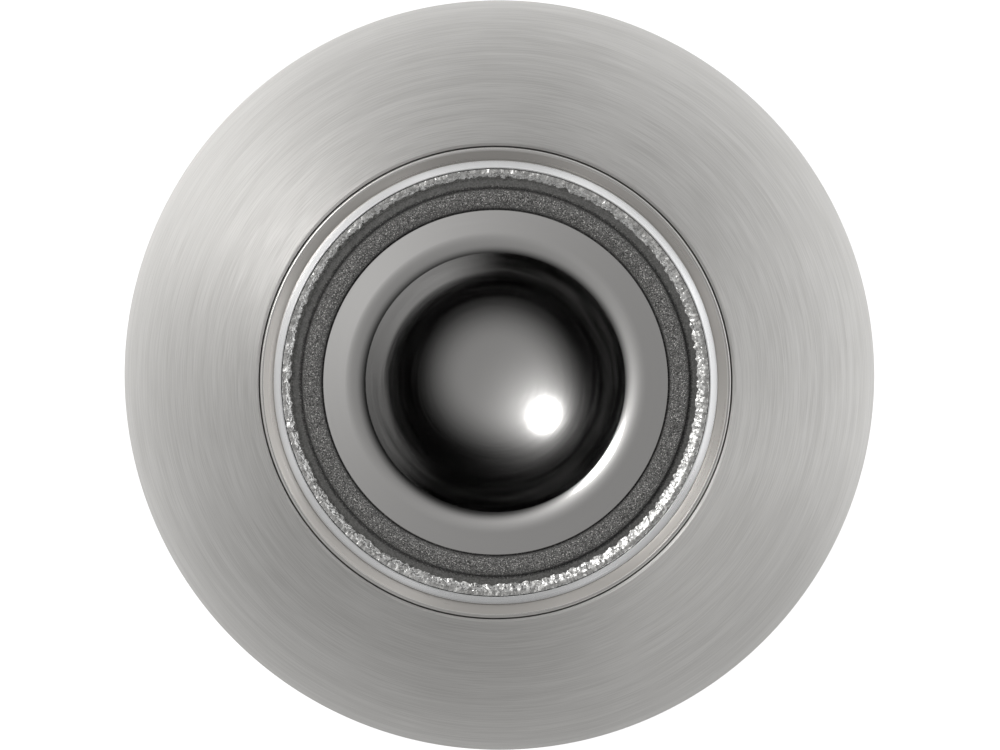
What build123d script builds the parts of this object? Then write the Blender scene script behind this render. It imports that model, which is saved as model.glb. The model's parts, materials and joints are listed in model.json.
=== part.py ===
"""Car tweeter: a brushed aluminium surface pod with an aimable capsule behind its mouth.

Millimetres, +Z along the sound axis at rest, origin at the centre of the mounting base.
The capsule tilts on two trunnion pins in a swivel ring, and the swivel ring turns in the pod.
Inside the capsule an inverted metal dome moves on a foam surround over a ring-magnet motor.
"""

from build123d import *
from math import acos, asin, cos, degrees, radians, sin, sqrt, tan
import os

# ---- pod ----
POD_R = 27.0  # widest radius
POD_WAIST_Z = 4.5  # height of the widest point
FRONT_Z = 17.8  # front plane of the pod and of the capsule's rim
SHELL_BOTTOM_Z = 0.3  # the shell stays a little clear of the panel
MOUTH_R = 16.5
MOUTH_CHAMFER = 0.1
SHOULDER_Z = 15.0  # roof of the swivel ring's bearing
BEARING_R = 19.1
BOSS_BOTTOM_Z = 9.4
SHELL_INNER_R = 24.6
SHELL_LIP_R = 23.4
SHELL_LIP_TOP_Z = 1.15
FOOT_FILLET = 0.25
NOTCH_LENGTH = 15.0  # of the three notches in the lip
BOSS_SLOPE_X = 1.0  # the boss under the bearing runs out into the wall
BOSS_SLOPE_Z = 2.4

# ---- retainer ring and its screws ----
RETAINER_T = 1.8
RETAINER_CHAMFER = 0.4
RETAINER_CIRCLE_R = 21.2
RETAINER_HOLE_R = 1.1
SCREW_R = 0.95
SCREW_LENGTH = 4.9
SCREW_HOLE_DEPTH = 3.4
SCREW_HEAD_R = 1.8
SCREW_HEAD_T = 1.1
SCREW_HEAD_FILLET = 0.35
RECESS_LENGTH = 1.9
RECESS_WIDTH = 0.45
RECESS_DEPTH = 0.6
WASHER_T = 0.7
WASHER_RUN = 0.2

# ---- ball joint ----
PIVOT_Z = 12.8  # the trunnion axis, and the centre of the ball
BALL_GAP = 0.18
SOCKET_R = sqrt(MOUTH_R**2 + (FRONT_Z - MOUTH_CHAMFER - PIVOT_Z) ** 2)
BALL_R = SOCKET_R - BALL_GAP
SWIVEL_RUN = 0.08  # running clearance of the swivel ring in its bearing
SWIVEL_END_RUN = 0.1
SWIVEL_CHAMFER = 0.25
PIN_R = 0.8
PIN_RUN = 0.05
PIN_INNER_X = 15.4
PIN_OUTER_X = 18.9
PIN_CHAMFER = 0.15
PIN_END_RUN = 0.2

# ---- base ----
BASE_R = 23.2
BASE_TOP_Z = 2.2
LUG_R = 24.3
LUG_BOTTOM_Z = 1.2
LUG_LENGTH = 12.0
LUG_DEPTH = 4.0  # along the radius, most of it inside the disc
MOUNT_CIRCLE_R = 17.0
MOUNT_HOLE_R = 1.7
MOUNT_SINK_R = 3.0
GASKET_INNER_R = 20.5
GASKET_OUTER_R = 22.8
GASKET_T = 0.6
INLET_R = 4.0
INLET_STEP_R = 5.4
INLET_STEP = 0.8
CABLE_R = 1.8
GROMMET_BOTTOM_Z = 0.1
GROMMET_BEAD_R = 5.0
GROMMET_BEAD_T = 0.8
POCKET_CIRCLE_R = 10.5
POCKET_WIDTH = 5.0
POCKET_SPREAD = 6.0  # between the centres of a pocket's round ends
POCKET_DEPTH = 1.0

# ---- capsule ----
HOUSING_BOTTOM_Z = 8.2
HOUSING_BORE_R = 14.0
HOUSING_SEAT_Z = 16.3
HOUSING_SEAT_R = 14.85
VALLEY_R = 15.43  # bottom of the groove behind the rim
VALLEY_Z = 17.35
VALLEY_HALF_WIDTH = 0.04
RIM_WIDTH = 0.2  # of the rim's top, before it slopes down into the valley
RIM_FILLET = 0.15
BEVEL_TOP_R = 14.92
BEVEL_TOP_Z = 17.68
CAP_R = 15.6
CAP_T = 1.2
CAP_CHAMFER = 0.4
CAP_SCREW_CIRCLE_R = 10.0
CAP_SCREW_R = 0.75
CAP_SCREW_HEAD_R = 1.5
CAP_SCREW_LENGTH = 3.9
CAP_SCREW_RUN = 0.05
CAP_SCREW_SLOT_LENGTH = 1.5
CAP_SCREW_SLOT_WIDTH = 0.35
CAP_SCREW_SLOT_DEPTH = 0.5
TAPPED_DEPTH = 1.6
SINK_HALF_ANGLE = 41.0  # degrees, of a countersunk head
SKIRT_LENGTH = 4.3  # of the driver frame, below its seat
LEAD_SLOT_WIDTH = 1.2
LEAD_SLOT_DEPTH = 2.4
LEAD_HOLE_R = 0.5
BOARD_LENGTH = 14.0
BOARD_WIDTH = 8.0
BOARD_CORNER_R = 1.0
BOARD_T = 1.0
RIVET_R = 0.7
RIVET_HEAD_R = 1.1
RIVET_HEAD_T = 0.3
TAB_LENGTH = 8.8
TAB_WIDTH = 2.8
TAB_CENTRE_Y = 2.4
TAB_T = 0.5
TAB_HOLE_R = 0.5
TAB_HOLE_Y = 5.6
WIRE_R = 0.12
WIRE_X = 4.0  # the two lead wires run in the planes x = +4 and x = -4
WIRE_Y = 13.1
LEAD_START_GAP = 0.3
LEAD_DROP = 0.45
LEAD_BEND_R = 0.35

# ---- diaphragm and surround ----
FLANGE_Z = 16.8  # underside of the surround
FOAM_T = 0.18
ROLL_R = 0.69
ROLL_CENTRE_R = 12.76
DOME_R = 11.95
DOME_T = 0.1
LIP_OVERLAP = 0.35  # of the surround's inner lip, under the dome's edge
CREST_R = 10.2  # highest circle of the dome
SHOULDER_ARC_R = 2.6
SHOULDER_SLOPE = 26.0  # degrees, where the shoulder meets the tighter bend into the wall
BEND_ARC_R = 0.4
BOWL_ARC_R = 12.2
WALL_SLOPE = 40.0  # degrees, of the straight wall between bowl and crest
ANNULUS_SLOPE = 6.0  # degrees, falling outwards
CLAMP_INNER_R = 14.0
CLAMP_TOP_Z = 17.55
CLAMP_LAND = 0.3  # flat on top of the ring, outside its slope
CLAMP_EDGE_T = 0.39  # thickness at the inner edge
CLAMP_RUN = 0.05  # clearance of the rings in the housing's seat
FRAME_RUN = 0.1  # between the driver frame and the motor

# ---- motor ----
PLATE_TOP_Z = 15.9
PLATE_BOTTOM_Z = 14.4
MAGNET_BOTTOM_Z = 11.4
MAGNET_OUTER_R = 13.2
MAGNET_INNER_R = 11.2
MAGNET_CHAMFER = 0.1
YOKE_BOTTOM_Z = 9.4
YOKE_CHAMFER = 0.4
MOTOR_R = 13.4
POLE_R = 9.8
GAP_OUTER_R = 10.6
FORMER_R = 10.05
FORMER_T = 0.1
FORMER_LENGTH = 3.8
GLUE_GAP = 0.02
COIL_T = 0.2
COIL_LENGTH = 2.3
DISH_ARC_R = 13.5
DISH_BOTTOM_Z = 12.3
VENT_R = 1.6
FELT_INSET = 0.4
SPACER_OUTER_R = 13.0
SPACER_INNER_R = 11.6

os.makedirs("parts", exist_ok=True)


def flat_ring(outer_r, inner_r):
    """Draw a ring in the current sketch."""
    Circle(outer_r)
    Circle(inner_r, mode=Mode.SUBTRACT)


def ball_r_at(z, sphere_r):
    """Radius of a sphere about the pivot at height z."""
    return sqrt(sphere_r**2 - (z - PIVOT_Z) ** 2)


def ball_angle(z, sphere_r):
    """Angle of that point above the pivot plane, in degrees."""
    return degrees(asin((z - PIVOT_Z) / sphere_r))


# ======================= pod =======================

# Outer skin: one elliptical arc from the foot, over the waist, to the mouth.
mouth_edge_r = MOUTH_R + MOUTH_CHAMFER
skin_height = (FRONT_Z - POD_WAIST_Z) / sqrt(1 - (mouth_edge_r / POD_R) ** 2)
skin_start = degrees(asin((SHELL_BOTTOM_Z - POD_WAIST_Z) / skin_height))
skin_end = degrees(acos(mouth_edge_r / POD_R))

with BuildPart() as pod_shell:
    with BuildSketch(Plane.XZ):
        with BuildLine():
            skin = EllipticalCenterArc(
                (0, POD_WAIST_Z), POD_R, skin_height, skin_start, arc_size=skin_end - skin_start
            )
            mouth = Line(skin @ 1, (MOUTH_R, FRONT_Z - MOUTH_CHAMFER))
            socket_top = ball_angle(FRONT_Z - MOUTH_CHAMFER, SOCKET_R)
            socket_bottom = ball_angle(SHOULDER_Z, SOCKET_R)
            socket = CenterArc((0, PIVOT_Z), SOCKET_R, socket_top, socket_bottom - socket_top)
            Polyline(
                socket @ 1,
                (BEARING_R, SHOULDER_Z),
                (BEARING_R, BOSS_BOTTOM_Z),
                (SHELL_INNER_R - BOSS_SLOPE_X, BOSS_BOTTOM_Z),
                (SHELL_INNER_R, BOSS_BOTTOM_Z - BOSS_SLOPE_Z),
                (SHELL_INNER_R, SHELL_LIP_TOP_Z),
                (SHELL_LIP_R, SHELL_LIP_TOP_Z),
                (SHELL_LIP_R, SHELL_BOTTOM_Z),
                skin @ 0,
            )
        make_face()
    revolve(axis=Axis.Z)
    fillet(pod_shell.edges().group_by(Axis.Z)[0].sort_by(SortBy.RADIUS)[-1], FOOT_FILLET)
    # three notches let the base plate's lugs in
    with BuildSketch(Plane.XY.offset(SHELL_BOTTOM_Z)):
        with PolarLocations(SHELL_LIP_R, 3, start_angle=60):
            Rectangle(LUG_DEPTH, NOTCH_LENGTH)
        Circle(SHELL_INNER_R, mode=Mode.INTERSECT)
    extrude(amount=SHELL_LIP_TOP_Z - SHELL_BOTTOM_Z, mode=Mode.SUBTRACT)
    # blind screw holes for the retainer ring
    with BuildSketch(Plane.XY.offset(BOSS_BOTTOM_Z)):
        with PolarLocations(RETAINER_CIRCLE_R, 3, start_angle=30):
            Circle(SCREW_R)
    extrude(amount=SCREW_HOLE_DEPTH, mode=Mode.SUBTRACT)
pod_shell.part.label = "pod_shell"
export_step(pod_shell.part, "parts/pod_shell.step")

with BuildPart() as retainer_ring:
    with BuildSketch(Plane.XY.offset(BOSS_BOTTOM_Z - RETAINER_T)):
        flat_ring(SHELL_INNER_R - BOSS_SLOPE_X - RETAINER_CHAMFER, SOCKET_R)
        with PolarLocations(RETAINER_CIRCLE_R, 3, start_angle=30):
            Circle(RETAINER_HOLE_R, mode=Mode.SUBTRACT)
    extrude(amount=RETAINER_T)
    chamfer(
        retainer_ring.edges().group_by(Axis.Z)[0].sort_by(SortBy.RADIUS)[-1], RETAINER_CHAMFER
    )
retainer_ring.part.label = "retainer_ring"
export_step(retainer_ring.part, "parts/retainer_ring.step")

# Pan-head screws, heads down, with a cross recess.
with BuildPart() as retainer_screws:
    head_top_z = BOSS_BOTTOM_Z - RETAINER_T
    with BuildSketch(Plane.XY.offset(head_top_z)):
        with PolarLocations(RETAINER_CIRCLE_R, 3, start_angle=30):
            Circle(SCREW_HEAD_R)
    extrude(amount=-SCREW_HEAD_T)
    fillet(retainer_screws.edges().group_by(Axis.Z)[0], SCREW_HEAD_FILLET)
    with BuildSketch(Plane.XY.offset(head_top_z)):
        with PolarLocations(RETAINER_CIRCLE_R, 3, start_angle=30):
            Circle(SCREW_R)
    extrude(amount=SCREW_LENGTH)
    chamfer(retainer_screws.edges().group_by(Axis.Z)[-1], SCREW_R / 4)
    with BuildSketch(Plane.XY.offset(head_top_z - SCREW_HEAD_T)):
        with PolarLocations(RETAINER_CIRCLE_R, 3, start_angle=30):
            Rectangle(RECESS_LENGTH, RECESS_WIDTH)
            Rectangle(RECESS_WIDTH, RECESS_LENGTH)
    extrude(amount=RECESS_DEPTH, mode=Mode.SUBTRACT)
retainer_screws.part.label = "retainer_screws"
export_step(retainer_screws.part, "parts/retainer_screws.step")

with BuildPart() as friction_washer:
    with BuildSketch(Plane.XY.offset(BOSS_BOTTOM_Z)):
        flat_ring(BEARING_R - WASHER_RUN, SOCKET_R + WASHER_RUN)
    extrude(amount=WASHER_T)
friction_washer.part.label = "friction_washer"
export_step(friction_washer.part, "parts/friction_washer.step")

with BuildPart() as base_plate:
    with BuildSketch(Plane.XY):
        Circle(BASE_R)
    extrude(amount=BASE_TOP_Z)
    # bayonet lugs, which sit over the shell's lip
    with BuildSketch(Plane.XY.offset(LUG_BOTTOM_Z)):
        with PolarLocations(LUG_R - LUG_DEPTH / 2, 3):
            Rectangle(LUG_DEPTH, LUG_LENGTH)
        Circle(LUG_R, mode=Mode.INTERSECT)
    extrude(amount=BASE_TOP_Z - LUG_BOTTOM_Z)
    with BuildSketch(Plane.XY):
        flat_ring(GASKET_OUTER_R, GASKET_INNER_R)
    extrude(amount=GASKET_T, mode=Mode.SUBTRACT)
    with Locations(Plane.XY.offset(BASE_TOP_Z)):
        with PolarLocations(MOUNT_CIRCLE_R, 3, start_angle=90):
            CounterSinkHole(MOUNT_HOLE_R, MOUNT_SINK_R)
    with BuildSketch(Plane.XY):
        Circle(INLET_R)
    extrude(amount=BASE_TOP_Z, mode=Mode.SUBTRACT)
    with BuildSketch(Plane.XY):
        Circle(INLET_STEP_R)
    extrude(amount=INLET_STEP, mode=Mode.SUBTRACT)
    # a shallow ring of weight-saving pockets between the inlet and the screw circle
    with BuildSketch(Plane.XY.offset(BASE_TOP_Z)):
        with PolarLocations(POCKET_CIRCLE_R, 3, start_angle=90):
            SlotCenterToCenter(POCKET_SPREAD, POCKET_WIDTH, rotation=90)
    extrude(amount=-POCKET_DEPTH, mode=Mode.SUBTRACT)
base_plate.part.label = "base_plate"
export_step(base_plate.part, "parts/base_plate.step")

with BuildPart() as base_gasket:
    with BuildSketch(Plane.XY):
        flat_ring(GASKET_OUTER_R, GASKET_INNER_R)
    extrude(amount=GASKET_T)
base_gasket.part.label = "base_gasket"
export_step(base_gasket.part, "parts/base_gasket.step")

with BuildPart() as cable_grommet:
    with BuildSketch(Plane.XY.offset(GROMMET_BOTTOM_Z)):
        Circle(INLET_STEP_R - GROMMET_BOTTOM_Z)
    extrude(amount=INLET_STEP - GROMMET_BOTTOM_Z)
    with BuildSketch(Plane.XY.offset(INLET_STEP)):
        Circle(INLET_R)
    extrude(amount=BASE_TOP_Z - INLET_STEP)
    with BuildSketch(Plane.XY.offset(BASE_TOP_Z)):
        Circle(GROMMET_BEAD_R)
    extrude(amount=GROMMET_BEAD_T)
    fillet(cable_grommet.edges().group_by(Axis.Z)[-1], GROMMET_BEAD_T / 2)
    with BuildSketch(Plane.XY):
        Circle(CABLE_R)
    extrude(amount=2 * BASE_TOP_Z, mode=Mode.SUBTRACT)
cable_grommet.part.label = "cable_grommet"
export_step(cable_grommet.part, "parts/cable_grommet.step")

# ======================= swivel ring =======================

SWIVEL_BOTTOM_Z = BOSS_BOTTOM_Z + WASHER_T + SWIVEL_END_RUN / 2
SWIVEL_TOP_Z = SHOULDER_Z - SWIVEL_END_RUN

with BuildPart() as swivel_ring:
    with BuildSketch(Plane.XY.offset(SWIVEL_BOTTOM_Z)):
        Circle(BEARING_R - SWIVEL_RUN)
    extrude(amount=SWIVEL_TOP_Z - SWIVEL_BOTTOM_Z)
    chamfer(swivel_ring.edges().group_by(Axis.Z)[-1], SWIVEL_CHAMFER)
    with Locations((0, 0, PIVOT_Z)):
        Sphere(SOCKET_R, mode=Mode.SUBTRACT)
    with BuildSketch(Plane.YZ.offset(-BEARING_R)):
        with Locations((0, PIVOT_Z)):
            Circle(PIN_R)
    extrude(amount=2 * BEARING_R, mode=Mode.SUBTRACT)
swivel_ring.part.label = "swivel_ring"
export_step(swivel_ring.part, "parts/swivel_ring.step")

with BuildPart() as trunnion_pins:
    with BuildSketch(Plane.YZ.offset(PIN_INNER_X)):
        with Locations((0, PIVOT_Z)):
            Circle(PIN_R)
    extrude(amount=PIN_OUTER_X - PIN_INNER_X)
    chamfer(trunnion_pins.edges().group_by(Axis.X)[0], PIN_CHAMFER)
    mirror(about=Plane.YZ)
trunnion_pins.part.label = "trunnion_pins"
export_step(trunnion_pins.part, "parts/trunnion_pins.step")

# ======================= capsule =======================

rim_r = ball_r_at(FRONT_Z, BALL_R)
with BuildPart() as capsule_housing:
    with BuildSketch(Plane.XZ):
        with BuildLine():
            ball_bottom = ball_angle(HOUSING_BOTTOM_Z, BALL_R)
            ball_top = ball_angle(FRONT_Z, BALL_R)
            ball = CenterArc((0, PIVOT_Z), BALL_R, ball_bottom, ball_top - ball_bottom)
            Polyline(
                ball @ 1,
                (rim_r - RIM_WIDTH, FRONT_Z),
                (VALLEY_R + VALLEY_HALF_WIDTH, VALLEY_Z),
                (VALLEY_R - VALLEY_HALF_WIDTH, VALLEY_Z),
                (BEVEL_TOP_R, BEVEL_TOP_Z),
                (HOUSING_SEAT_R, BEVEL_TOP_Z),
                (HOUSING_SEAT_R, HOUSING_SEAT_Z),
                (HOUSING_BORE_R, HOUSING_SEAT_Z),
                (HOUSING_BORE_R, HOUSING_BOTTOM_Z),
                ball @ 0,
            )
        make_face()
    revolve(axis=Axis.Z)
    fillet(capsule_housing.edges().group_by(Axis.Z)[-1].sort_by(SortBy.RADIUS)[-1], RIM_FILLET)
    # blind trunnion bores, one on each side
    with BuildSketch(Plane.YZ.offset(PIN_INNER_X - PIN_END_RUN)):
        with Locations((0, PIVOT_Z)):
            Circle(PIN_R + PIN_RUN)
    extrude(amount=BALL_R, mode=Mode.SUBTRACT)
    with BuildSketch(Plane.YZ.offset(PIN_END_RUN - PIN_INNER_X)):
        with Locations((0, PIVOT_Z)):
            Circle(PIN_R + PIN_RUN)
    extrude(amount=-BALL_R, mode=Mode.SUBTRACT)
capsule_housing.part.label = "capsule_housing"
export_step(capsule_housing.part, "parts/capsule_housing.step")

# Clamp ring: its face slopes down inwards to a thin edge.
clamp_outer_r = HOUSING_SEAT_R - CLAMP_RUN
with BuildPart() as clamp_ring:
    with BuildSketch(Plane.XZ):
        with BuildLine():
            Polyline(
                (CLAMP_INNER_R, FLANGE_Z + FOAM_T),
                (clamp_outer_r, FLANGE_Z + FOAM_T),
                (clamp_outer_r, CLAMP_TOP_Z),
                (clamp_outer_r - CLAMP_LAND, CLAMP_TOP_Z),
                (CLAMP_INNER_R, FLANGE_Z + FOAM_T + CLAMP_EDGE_T),
                close=True,
            )
        make_face()
    revolve(axis=Axis.Z)
clamp_ring.part.label = "clamp_ring"
export_step(clamp_ring.part, "parts/clamp_ring.step")

# Driver frame: a flange that seats in the housing, and a skirt that centres the motor.
with BuildPart() as driver_frame:
    with BuildSketch(Plane.XY.offset(HOUSING_SEAT_Z)):
        flat_ring(HOUSING_SEAT_R - CLAMP_RUN, MOTOR_R + FRAME_RUN)
    extrude(amount=FLANGE_Z - HOUSING_SEAT_Z)
    with BuildSketch(Plane.XY.offset(HOUSING_SEAT_Z)):
        flat_ring(HOUSING_BORE_R - CLAMP_RUN, MOTOR_R + FRAME_RUN)
    extrude(amount=-SKIRT_LENGTH)
    # slots for the lead wires
    with BuildSketch(Plane.XY.offset(HOUSING_SEAT_Z)):
        with Locations((WIRE_X, WIRE_Y), (-WIRE_X, WIRE_Y)):
            Rectangle(LEAD_SLOT_WIDTH, LEAD_SLOT_DEPTH)
    extrude(amount=-SKIRT_LENGTH, mode=Mode.SUBTRACT)
driver_frame.part.label = "driver_frame"
export_step(driver_frame.part, "parts/driver_frame.step")

# Foam surround: outer flange, one half roll, inner lip under the dome's edge.
with BuildPart() as surround:
    foam_top = FLANGE_Z + FOAM_T
    under_r = ROLL_R - FOAM_T
    with BuildSketch(Plane.XZ):
        with BuildLine():
            roll_top = CenterArc((ROLL_CENTRE_R, foam_top), ROLL_R, 0, 180)
            roll_under = CenterArc((ROLL_CENTRE_R, foam_top), under_r, 180, -180)
            Polyline(
                roll_top @ 1,
                (DOME_R - LIP_OVERLAP, foam_top),
                (DOME_R - LIP_OVERLAP, FLANGE_Z),
                (ROLL_CENTRE_R - under_r, FLANGE_Z),
                roll_under @ 0,
            )
            Polyline(
                roll_under @ 1,
                (ROLL_CENTRE_R + under_r, FLANGE_Z),
                (HOUSING_SEAT_R - 2 * CLAMP_RUN, FLANGE_Z),
                (HOUSING_SEAT_R - 2 * CLAMP_RUN, foam_top),
                roll_top @ 0,
            )
        make_face()
    revolve(axis=Axis.Z)
surround.part.label = "surround"
export_step(surround.part, "parts/surround.step")

with BuildPart() as top_plate:
    with BuildSketch(Plane.XY.offset(PLATE_BOTTOM_Z)):
        flat_ring(MOTOR_R, GAP_OUTER_R)
    extrude(amount=PLATE_TOP_Z - PLATE_BOTTOM_Z)
top_plate.part.label = "top_plate"
export_step(top_plate.part, "parts/top_plate.step")

with BuildPart() as magnet_ring:
    with BuildSketch(Plane.XY.offset(MAGNET_BOTTOM_Z)):
        flat_ring(MAGNET_OUTER_R, MAGNET_INNER_R)
    extrude(amount=PLATE_BOTTOM_Z - MAGNET_BOTTOM_Z)
    chamfer(magnet_ring.edges(), MAGNET_CHAMFER)
magnet_ring.part.label = "magnet_ring"
export_step(magnet_ring.part, "parts/magnet_ring.step")

# Back plate and centre pole in one: the pole's face is dished to follow the dome.
with BuildPart() as pole_yoke:
    with BuildSketch(Plane.XY.offset(YOKE_BOTTOM_Z)):
        Circle(MOTOR_R)
    extrude(amount=MAGNET_BOTTOM_Z - YOKE_BOTTOM_Z)
    chamfer(pole_yoke.edges().group_by(Axis.Z)[0], YOKE_CHAMFER)
    with BuildSketch(Plane.XY.offset(MAGNET_BOTTOM_Z)):
        Circle(POLE_R)
    extrude(amount=PLATE_TOP_Z - MAGNET_BOTTOM_Z)
    with Locations((0, 0, DISH_BOTTOM_Z + DISH_ARC_R)):
        Sphere(DISH_ARC_R, mode=Mode.SUBTRACT)
    with BuildSketch(Plane.XY.offset(YOKE_BOTTOM_Z)):
        Circle(VENT_R)
    extrude(amount=PLATE_TOP_Z - YOKE_BOTTOM_Z, mode=Mode.SUBTRACT)
    # blind tapped holes for the rear cap's screws
    with BuildSketch(Plane.XY.offset(YOKE_BOTTOM_Z)):
        with PolarLocations(CAP_SCREW_CIRCLE_R, 3, start_angle=30):
            Circle(CAP_SCREW_R + CAP_SCREW_RUN)
    extrude(amount=TAPPED_DEPTH, mode=Mode.SUBTRACT)
pole_yoke.part.label = "pole_yoke"
export_step(pole_yoke.part, "parts/pole_yoke.step")

with BuildPart() as vent_felt:
    with BuildSketch(Plane.XY.offset(YOKE_BOTTOM_Z + FELT_INSET)):
        Circle(VENT_R)
    extrude(amount=DISH_BOTTOM_Z - YOKE_BOTTOM_Z - 2 * FELT_INSET)
vent_felt.part.label = "vent_felt"
export_step(vent_felt.part, "parts/vent_felt.step")

with BuildPart() as motor_spacer:
    with BuildSketch(Plane.XY.offset(HOUSING_BOTTOM_Z)):
        flat_ring(SPACER_OUTER_R, SPACER_INNER_R)
    extrude(amount=YOKE_BOTTOM_Z - HOUSING_BOTTOM_Z)
motor_spacer.part.label = "motor_spacer"
export_step(motor_spacer.part, "parts/motor_spacer.step")

cap_bottom_z = HOUSING_BOTTOM_Z - CAP_T
with BuildPart() as rear_cap:
    with BuildSketch(Plane.XY.offset(cap_bottom_z)):
        Circle(CAP_R)
    extrude(amount=CAP_T)
    chamfer(rear_cap.edges().group_by(Axis.Z)[0], CAP_CHAMFER)
    # countersinks open downwards
    with Locations(Plane(origin=(0, 0, cap_bottom_z), z_dir=(0, 0, -1))):
        with PolarLocations(CAP_SCREW_CIRCLE_R, 3, start_angle=30):
            CounterSinkHole(CAP_SCREW_R + CAP_SCREW_RUN, CAP_SCREW_HEAD_R + CAP_SCREW_RUN)
    with BuildSketch(Plane.XY.offset(cap_bottom_z)):
        with Locations((WIRE_X, WIRE_Y), (-WIRE_X, WIRE_Y)):
            Circle(LEAD_HOLE_R)
    extrude(amount=CAP_T, mode=Mode.SUBTRACT)
rear_cap.part.label = "rear_cap"
export_step(rear_cap.part, "parts/rear_cap.step")

screw_plane = Plane(origin=(0, 0, cap_bottom_z), z_dir=(0, 0, -1))
head_height = (CAP_SCREW_HEAD_R - CAP_SCREW_R) / tan(radians(SINK_HALF_ANGLE))
with BuildPart() as rear_cap_screws:
    with Locations(screw_plane):
        with PolarLocations(CAP_SCREW_CIRCLE_R, 3, start_angle=30):
            Cone(
                CAP_SCREW_R,
                CAP_SCREW_HEAD_R,
                head_height,
                align=(Align.CENTER, Align.CENTER, Align.MAX),
            )
            Cylinder(CAP_SCREW_R, CAP_SCREW_LENGTH, align=(Align.CENTER, Align.CENTER, Align.MAX))
    with BuildSketch(screw_plane):
        with PolarLocations(CAP_SCREW_CIRCLE_R, 3, start_angle=30):
            Rectangle(CAP_SCREW_SLOT_LENGTH, CAP_SCREW_SLOT_WIDTH)
            Rectangle(CAP_SCREW_SLOT_WIDTH, CAP_SCREW_SLOT_LENGTH)
    extrude(amount=-CAP_SCREW_SLOT_DEPTH, mode=Mode.SUBTRACT)
rear_cap_screws.part.label = "rear_cap_screws"
export_step(rear_cap_screws.part, "parts/rear_cap_screws.step")

with BuildPart() as terminal_board:
    with BuildSketch(Plane.XY.offset(cap_bottom_z)):
        RectangleRounded(BOARD_LENGTH, BOARD_WIDTH, BOARD_CORNER_R)
        with Locations((WIRE_X, 0), (-WIRE_X, 0)):
            Circle(RIVET_R, mode=Mode.SUBTRACT)
    extrude(amount=-BOARD_T)
terminal_board.part.label = "terminal_board"
export_step(terminal_board.part, "parts/terminal_board.step")

# Two solder tabs, each riveted through the board.
with BuildPart() as terminal_tabs:
    tab_top_z = cap_bottom_z - BOARD_T
    with BuildSketch(Plane.XY.offset(tab_top_z)):
        with Locations((WIRE_X, TAB_CENTRE_Y), (-WIRE_X, TAB_CENTRE_Y)):
            SlotOverall(TAB_LENGTH, TAB_WIDTH, rotation=90)
        with Locations((WIRE_X, TAB_HOLE_Y), (-WIRE_X, TAB_HOLE_Y)):
            Circle(TAB_HOLE_R, mode=Mode.SUBTRACT)
    extrude(amount=-TAB_T)
    with BuildSketch(Plane.XY.offset(cap_bottom_z)):
        with Locations((WIRE_X, 0), (-WIRE_X, 0)):
            Circle(RIVET_R)
    extrude(amount=-BOARD_T)
    with BuildSketch(Plane.XY.offset(tab_top_z - TAB_T)):
        with Locations((WIRE_X, 0), (-WIRE_X, 0)):
            Circle(RIVET_HEAD_R)
    extrude(amount=-RIVET_HEAD_T)
    fillet(terminal_tabs.edges().group_by(Axis.Z)[0], RIVET_HEAD_T * 0.4)
terminal_tabs.part.label = "terminal_tabs"
export_step(terminal_tabs.part, "parts/terminal_tabs.step")

# Lead wires: from beside the coil, over the top plate, down the frame's slots and through
# the rear cap, then in to the tabs' holes.
lead_z = (PLATE_TOP_Z + HOUSING_SEAT_Z) / 2
coil_outer_r = FORMER_R + FORMER_T + COIL_T
lead_start_y = sqrt((coil_outer_r + LEAD_START_GAP) ** 2 - WIRE_X**2)
under_cap_z = cap_bottom_z - LEAD_DROP
with BuildPart() as lead_wires:
    with BuildLine():
        route = FilletPolyline(
            (WIRE_X, lead_start_y, lead_z),
            (WIRE_X, WIRE_Y, lead_z),
            (WIRE_X, WIRE_Y, under_cap_z),
            (WIRE_X, TAB_HOLE_Y, under_cap_z),
            (WIRE_X, TAB_HOLE_Y, tab_top_z - TAB_T - RIVET_HEAD_T),
            radius=LEAD_BEND_R,
        )
    with BuildSketch(Plane(origin=route @ 0, z_dir=route % 0)):
        Circle(WIRE_R)
    sweep()
    mirror(about=Plane.YZ)
lead_wires.part.label = "lead_wires"
export_step(lead_wires.part, "parts/lead_wires.step")

# ======================= diaphragm =======================

# Dome: a concave bowl, a short conical wall, a tight bend, a broad convex shoulder and a
# gently falling annulus.
annulus_end_r = CREST_R + SHOULDER_ARC_R * sin(radians(ANNULUS_SLOPE))
annulus_drop = (DOME_R - annulus_end_r) * tan(radians(ANNULUS_SLOPE))
arc_drop = SHOULDER_ARC_R * (1 - cos(radians(ANNULUS_SLOPE)))
crest_z = FLANGE_Z + FOAM_T + DOME_T + annulus_drop + arc_drop
wall = radians(WALL_SLOPE)
slope = radians(SHOULDER_SLOPE)
bend_centre_r = CREST_R - (SHOULDER_ARC_R - BEND_ARC_R) * sin(slope)
bend_centre_z = crest_z - SHOULDER_ARC_R + (SHOULDER_ARC_R - BEND_ARC_R) * cos(slope)
wall_top_r = bend_centre_r - BEND_ARC_R * sin(wall)
wall_top_z = bend_centre_z + BEND_ARC_R * cos(wall)
wall_bottom_r = BOWL_ARC_R * sin(wall)
wall_bottom_z = wall_top_z - (wall_top_r - wall_bottom_r) * tan(wall)
bowl_centre_z = wall_bottom_z + BOWL_ARC_R * cos(wall)


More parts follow.
